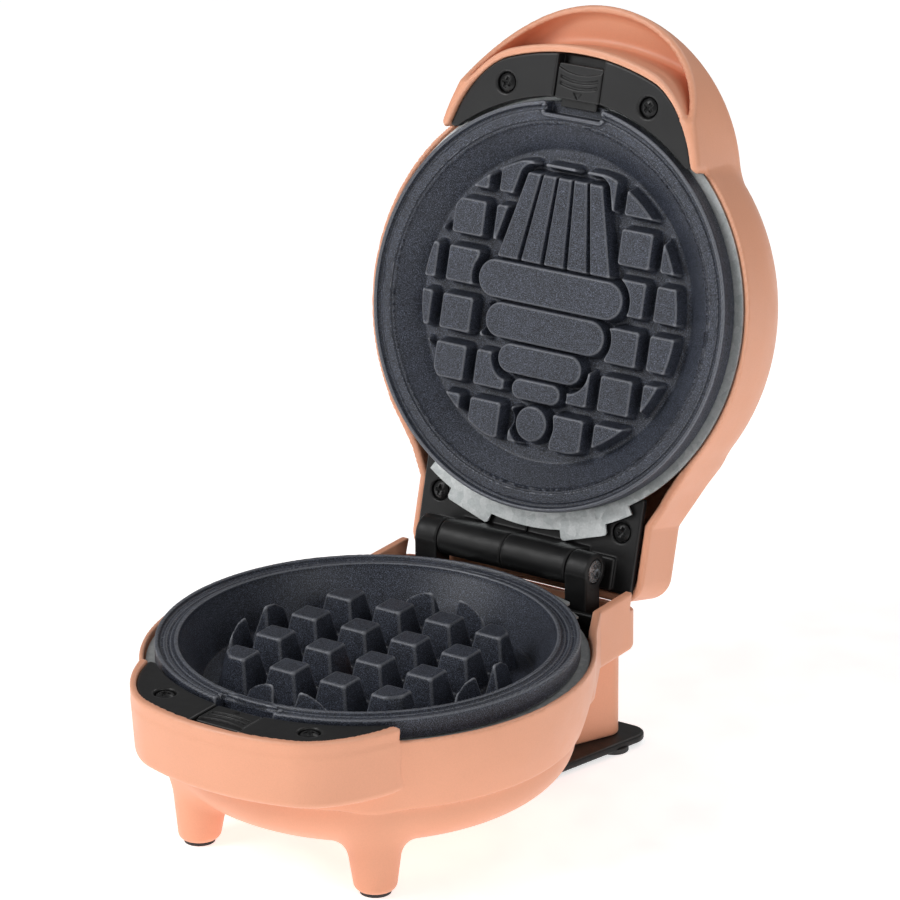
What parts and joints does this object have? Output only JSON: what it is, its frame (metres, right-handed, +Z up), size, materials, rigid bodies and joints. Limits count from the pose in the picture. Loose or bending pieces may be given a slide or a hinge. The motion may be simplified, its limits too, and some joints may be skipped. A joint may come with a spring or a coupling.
{
  "type": "waffle maker",
  "caption": "Compact electric waffle maker: a rounded lid opens on a rear hinge above a matching base, with removable round plates held by sprung front catches.",
  "frame": {"origin": "on the standing plane, straight below the centre of the lower cooking plate", "axes": "+X to the right along the hinge axis, +Y to the back where the cord goes in, +Z up"},
  "size_m": [0.1312, 0.2206, 0.2116],
  "materials": {
    "shell_plastic": "matte moulded polypropylene, salmon",
    "trim_plastic": "satin black moulding with a fine grain",
    "nonstick_coating": "die-cast, dark grey speckled non-stick coating",
    "galvanised_sheet": "galvanised sheet, dull with faint spangle",
    "hinge_plastic": "satin black glass-filled moulding",
    "foot_plastic": "matte black moulding",
    "black_screws": "black oxide",
    "heater_steel": "heat-tinted stainless tube",
    "pivot_steel": "bright nickel plate",
    "zinc_steel": "zinc plated",
    "ceramic": "glazed ceramic, which gloss plastic stands in for",
    "white_insulator": "white moulded insulator",
    "brass_parts": "plain brass",
    "wire_sleeve": "silicone sleeve",
    "pad_rubber": "matte rubber",
    "lens": "tinted clear plastic",
    "bulb": "clear glass with an orange glow lamp inside"
  },
  "bodies": {
    "root": {"base_shell": "shell_plastic", "base_trim": "trim_plastic", "base_trim_screws": "black_screws", "base_plate": "nonstick_coating", "base_reflector": "galvanised_sheet", "base_reflector_screws": "zinc_steel", "base_heater": "heater_steel", "base_heater_bushings": "ceramic", "base_heater_clips": "galvanised_sheet", "base_catch_spring": "zinc_steel", "base_hinge_bracket": "hinge_plastic", "base_hinge_screws": "zinc_steel", "hinge_pins": "pivot_steel", "thermostat": "white_insulator", "thermostat_screws": "zinc_steel", "thermal_fuse": "brass_parts", "fuse_clip": "galvanised_sheet", "terminal_block": "white_insulator", "terminal_screws": "zinc_steel", "base_wiring": "wire_sleeve", "earth_tag": "brass_parts", "cord_gland": "foot_plastic", "cord_clamp": "foot_plastic", "cord_clamp_screws": "zinc_steel", "foot_plate": "foot_plastic", "foot_plate_screws": "zinc_steel", "front_pads": "pad_rubber", "rear_pads": "pad_rubber"},
    "lid": {"lid_shell": "shell_plastic", "lid_trim": "trim_plastic", "lid_trim_screws": "black_screws", "lid_plate": "nonstick_coating", "lid_reflector": "galvanised_sheet", "lid_reflector_screws": "zinc_steel", "lid_heater": "heater_steel", "lid_heater_bushings": "ceramic", "lid_heater_clips": "galvanised_sheet", "lid_catch_spring": "zinc_steel", "lid_hinge_bracket": "hinge_plastic", "lid_hinge_screws": "black_screws", "lid_cutout": "white_insulator", "lid_cutout_screws": "zinc_steel", "lamp_lens": "lens", "lamp_bulb": "bulb", "lamp_holder": "white_insulator", "lid_wiring": "wire_sleeve"},
    "base_catch": {"base_catch": "trim_plastic"},
    "lid_catch": {"lid_catch": "trim_plastic"}
  },
  "joints": [
    {"name": "lid_hinge", "type": "hinge", "parent": "root", "child": "lid", "pos_m": [0, 0.0739, 0.05685], "axis": [1, 0, 0], "range_deg": [0, 105]},
    {"name": "base_catch_slide", "type": "slide", "parent": "root", "child": "base_catch", "axis": [0, -1, 0], "range_m": [0, 0.0022], "stiffness_N_per_m": 900, "springref_m": -0.003},
    {"name": "lid_catch_slide", "type": "slide", "parent": "lid", "child": "lid_catch", "axis": [0, 0.2588, 0.9659], "range_m": [0, 0.0022], "stiffness_N_per_m": 900, "springref_m": -0.003}
  ]
}
